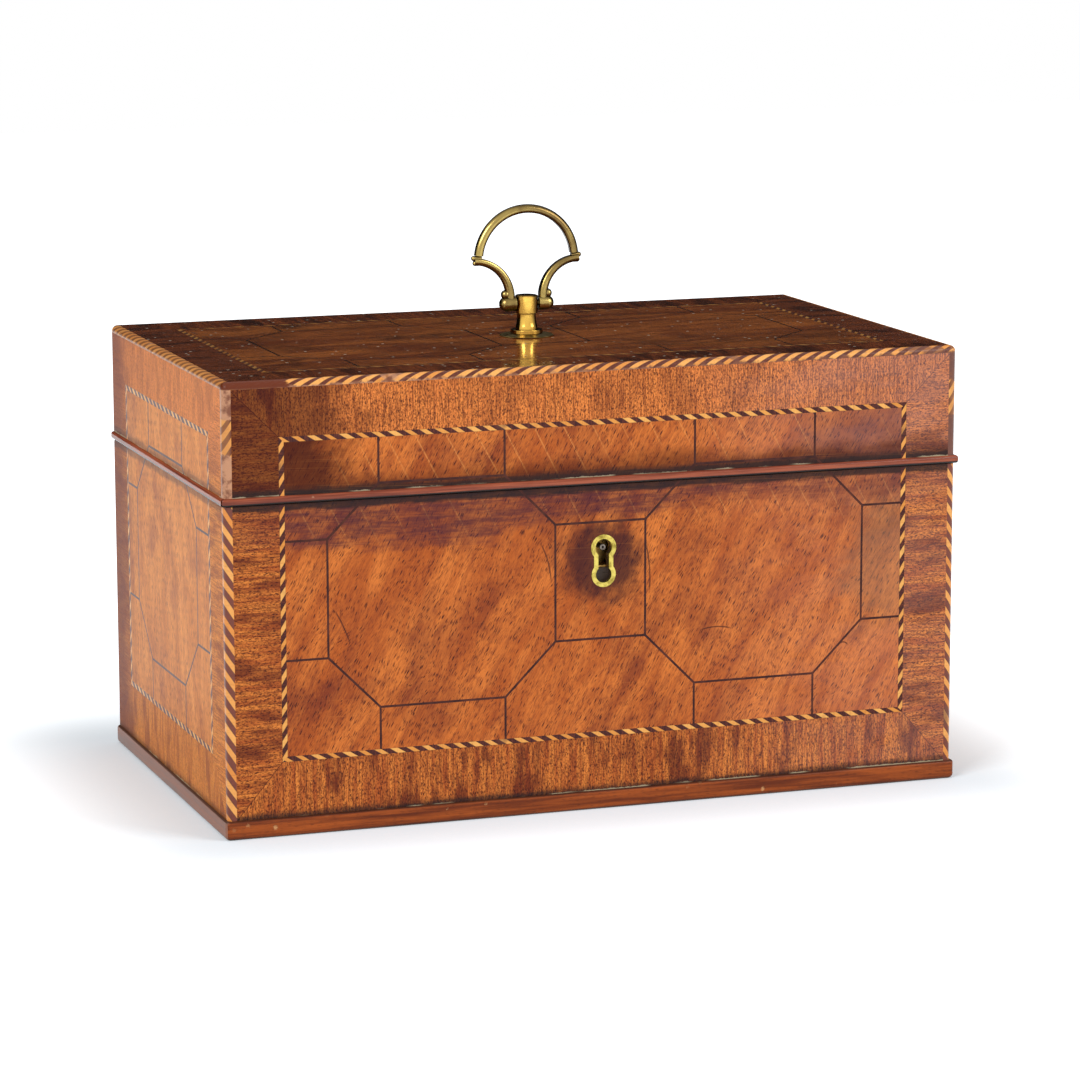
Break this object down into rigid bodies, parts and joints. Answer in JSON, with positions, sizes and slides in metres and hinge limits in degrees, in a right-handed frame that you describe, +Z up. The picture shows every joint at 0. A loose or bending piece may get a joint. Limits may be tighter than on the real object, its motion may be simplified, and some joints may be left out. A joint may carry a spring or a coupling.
{
  "type": "tea caddy",
  "caption": "Antique veneered tea caddy: box with a hinged lid, octagon line inlay, rope stringing, a swinging brass bail handle, a lock and lidded compartments.",
  "frame": {"origin": "middle of the plinth's footprint, on the surface that the caddy stands on", "axes": "+X along the front to the right, +Y from the front with the keyhole to the hinged back, +Z up; millimetres in the source, metres here"},
  "size_m": [0.3024, 0.1764, 0.2284],
  "materials": {
    "carcass_wood": "plain sawn, oiled",
    "inner_wood": "waxed",
    "knob_wood": "turned and polished boxwood",
    "panel_veneer": "french polished mahogany, satin",
    "crossbanding": "french polished cross-grain veneer, satin",
    "back_veneer": "old polish, satin",
    "dark_line": "ebonised line, polished",
    "rope_string": "light and dark twisted string, polished",
    "plinth_wood": "worn polish, satin",
    "bead_wood": "glossy polish",
    "handle_brass": "aged cast brass",
    "post_brass": "polished brass",
    "rose_brass": "tarnished brass",
    "lock_brass": "aged brass",
    "steel": "dull iron"
  },
  "bodies": {
    "case": {"bottom_board": "carcass_wood", "plinth_moulding": "plinth_wood", "case_front_board": "carcass_wood", "case_back_board": "carcass_wood", "case_right_board": "carcass_wood", "case_left_board": "carcass_wood", "case_front_panels": "panel_veneer", "case_front_banding": "crossbanding", "case_end_panels": "panel_veneer", "case_end_banding": "crossbanding", "case_back_veneer": "back_veneer", "case_dark_stringing": "dark_line", "case_rope_stringing": "rope_string", "case_corner_stringing": "rope_string", "escutcheon": "lock_brass", "lock_plate": "lock_brass", "lock_cap": "lock_brass", "lock_key_pin": "steel", "lock_bolt_spring": "steel", "lock_screws": "steel", "hinge_case_leaves": "lock_brass", "hinge_pins": "steel", "hinge_case_screws": "steel", "partition_right": "inner_wood", "partition_left": "inner_wood", "compartment_ledges": "inner_wood"},
    "lid": {"lid_front_board": "carcass_wood", "lid_back_board": "carcass_wood", "lid_right_board": "carcass_wood", "lid_left_board": "carcass_wood", "lid_top_board": "carcass_wood", "lid_front_panels": "panel_veneer", "lid_front_banding": "crossbanding", "lid_end_panels": "panel_veneer", "lid_end_banding": "crossbanding", "lid_back_veneer": "back_veneer", "lid_top_panels": "panel_veneer", "lid_top_banding": "crossbanding", "lid_dark_stringing": "dark_line", "lid_rope_stringing": "rope_string", "lid_edge_stringing": "rope_string", "lid_bead_moulding": "bead_wood", "link_plate": "lock_brass", "link_staples": "lock_brass", "link_plate_screws": "steel", "hinge_lid_leaves": "lock_brass", "hinge_lid_screws": "steel", "handle_rose": "rose_brass", "handle_post": "post_brass", "handle_nut": "post_brass"},
    "bail": {"handle_bail": "handle_brass"},
    "bolt": {"lock_bolt": "steel"},
    "inner_lid_right": {"inner_lid_right": "inner_wood", "inner_knob_right": "knob_wood"},
    "inner_lid_left": {"inner_lid_left": "inner_wood", "inner_knob_left": "knob_wood"}
  },
  "joints": [
    {"name": "lid_hinge", "type": "hinge", "parent": "case", "child": "lid", "pos_m": [0, 0.086, 0.1284], "axis": [-1, 0, 0], "range_deg": [0, 100]},
    {"name": "bail_swing", "type": "hinge", "parent": "lid", "child": "bail", "pos_m": [0, 0, 0.1885], "axis": [1, 0, 0], "range_deg": [-105, 105]},
    {"name": "bolt_slide", "type": "slide", "parent": "case", "child": "bolt", "axis": [1, 0, 0], "range_m": [0, 0.0042]},
    {"name": "inner_lid_right_lift", "type": "slide", "parent": "case", "child": "inner_lid_right", "axis": [0, 0, 1], "range_m": [0, 0.035]},
    {"name": "inner_lid_left_lift", "type": "slide", "parent": "case", "child": "inner_lid_left", "axis": [0, 0, 1], "range_m": [0, 0.035]}
  ]
}
